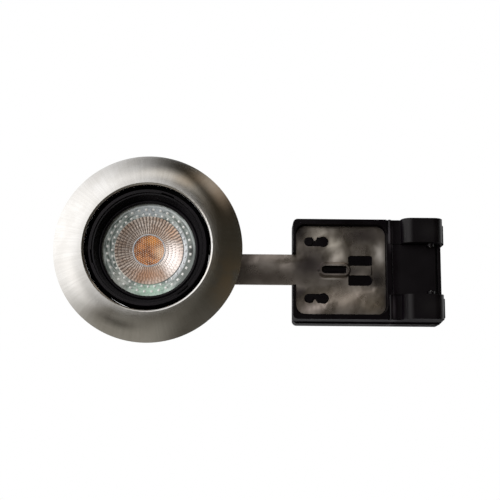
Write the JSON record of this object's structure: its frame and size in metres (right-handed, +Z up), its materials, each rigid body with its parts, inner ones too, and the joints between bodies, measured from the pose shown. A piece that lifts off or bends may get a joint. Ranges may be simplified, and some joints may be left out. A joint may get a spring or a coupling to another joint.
{
  "type": "soffit downlight",
  "caption": "Recessed soffit downlight with a domed round steel bezel, a tilting lamp in a black gimbal and a flat arm carrying a black terminal box.",
  "frame": {"origin": "centre of the soffit cut-out, in the plane where the bezel seats on the soffit", "axes": "+Z up into the ceiling void (the light shines along -Z), +X along the arm towards the terminal box, +Y across the arm"},
  "size_m": [0.1997, 0.09, 0.0894],
  "materials": {
    "trim_steel": "brushed, round lay",
    "foam": "matt closed-cell foam",
    "cast_alloy": "satin black coat",
    "arm_steel": "mill finish",
    "rivet_alloy": "plain",
    "black_plastic": "satin moulded",
    "screw_steel": "bright zinc",
    "pin_steel": "bright",
    "dark_steel": "blackened",
    "black_rubber": "matt",
    "natural_plastic": "natural polyamide",
    "terminal_brass": "bright",
    "black_paint": "satin black",
    "spring_steel": "bright",
    "gloss_black": "gloss",
    "lens_clear": "clear moulded",
    "bowl_glass": "clear pressed",
    "board_alloy": "white mask",
    "phosphor": "silicone phosphor",
    "cap_plastic": "white",
    "circuit_board": "green mask",
    "contact_pins": "nickel plated",
    "holder_cream": "unglazed ceramic"
  },
  "bodies": {
    "housing": {"trim_ring": "trim_steel", "trim_gasket": "foam", "mounting_ring": "cast_alloy", "arm_bracket": "arm_steel", "arm_rivets": "rivet_alloy", "box_front": "black_plastic", "box_rear": "black_plastic", "case_screws": "screw_steel", "flap_pins": "pin_steel", "cable_grommet_a": "black_rubber", "cable_grommet_b": "black_rubber", "lead_grommet": "black_rubber", "terminal_block": "natural_plastic", "terminal_inserts": "terminal_brass", "terminal_screws": "screw_steel"},
    "gimbal": {"gimbal_ring": "black_paint", "pivot_pins": "dark_steel", "pivot_washers": "dark_steel", "lamp_lens": "lens_clear", "lamp_reflector": "bowl_glass", "led_board": "board_alloy", "led_patch": "phosphor", "lamp_cap": "cap_plastic", "driver_board": "circuit_board", "lamp_pins": "contact_pins"},
    "baffle": {"baffle_ring": "gloss_black"},
    "lampholder": {"holder_body": "holder_cream", "holder_cap": "holder_cream", "holder_contacts": "terminal_brass", "holder_screws": "screw_steel"},
    "spring_a": {"retaining_spring_a": "spring_steel"},
    "spring_b": {"retaining_spring_b": "spring_steel"},
    "flap": {"terminal_flap": "black_plastic"}
  },
  "joints": [
    {"name": "gimbal_tilt", "type": "hinge", "parent": "housing", "child": "gimbal", "pos_m": [0, 0, 0.005], "axis": [1, 0, 0], "range_deg": [-15, 15]},
    {"name": "baffle_twist", "type": "hinge", "parent": "gimbal", "child": "baffle", "pos_m": [0, 0, 0.002], "axis": [0, 0, 1], "range_deg": [0, 20]},
    {"name": "holder_twist", "type": "hinge", "parent": "gimbal", "child": "lampholder", "pos_m": [0, 0, 0.0515], "axis": [0, 0, -1], "range_deg": [0, 18]},
    {"name": "spring_a_flex", "type": "hinge", "parent": "housing", "child": "spring_a", "pos_m": [0, 0.033, 0.02415], "axis": [-1, 0, 0], "range_deg": [0, 24], "stiffness_Nm_per_rad": 0.02},
    {"name": "spring_b_flex", "type": "hinge", "parent": "housing", "child": "spring_b", "pos_m": [0, -0.033, 0.02415], "axis": [1, 0, 0], "range_deg": [0, 24], "stiffness_Nm_per_rad": 0.02},
    {"name": "flap_hinge", "type": "hinge", "parent": "housing", "child": "flap", "pos_m": [0.145, 0, 0.0558], "axis": [0, -1, 0], "range_deg": [0, 95]}
  ]
}
